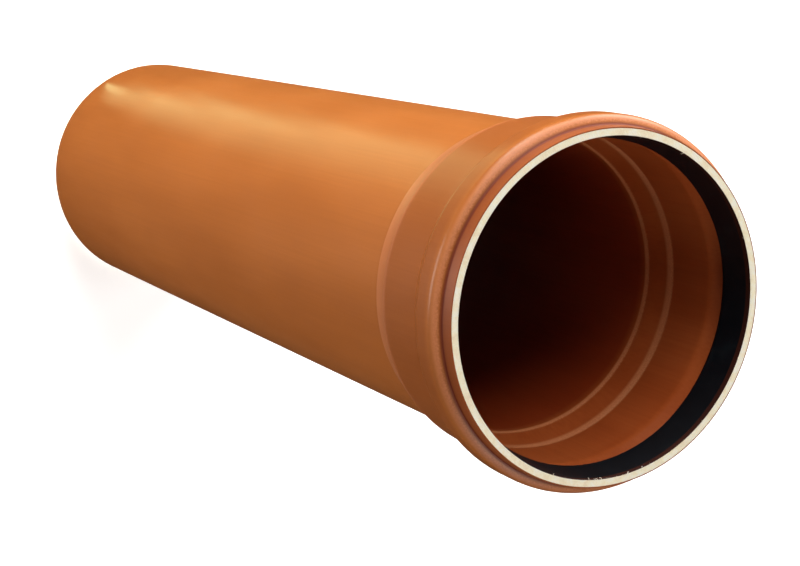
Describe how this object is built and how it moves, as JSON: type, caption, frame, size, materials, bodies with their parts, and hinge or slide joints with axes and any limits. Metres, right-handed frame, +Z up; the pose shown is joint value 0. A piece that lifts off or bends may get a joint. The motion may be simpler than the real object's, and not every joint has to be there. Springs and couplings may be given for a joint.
{
  "type": "sewer pipe",
  "caption": "Straight orange-brown PVC sewer pipe with a belled push-fit socket, a raised sealing bead with a black rubber lip seal inside, and a cream foam core showing at the mouth.",
  "frame": {"origin": "centre of the spigot end, on the floor", "axes": "+Z runs up the pipe's axis, from the spigot end that it stands on to the socket's mouth. The pipe is round, so +X and +Y are any two level directions"},
  "size_m": [0.3532, 0.3531, 1.2],
  "materials": {
    "pvc_skin": "smooth extruded PVC-U, semi-gloss, orange-brown",
    "pvc_foam": "sawn foamed PVC-U, matt, cream",
    "seal_rubber": "moulded black rubber, smooth"
  },
  "bodies": {
    "root": {"outer_skin": "pvc_skin", "foam_core": "pvc_foam", "inner_skin": "pvc_skin", "seal_ring": "seal_rubber"}
  },
  "joints": []
}
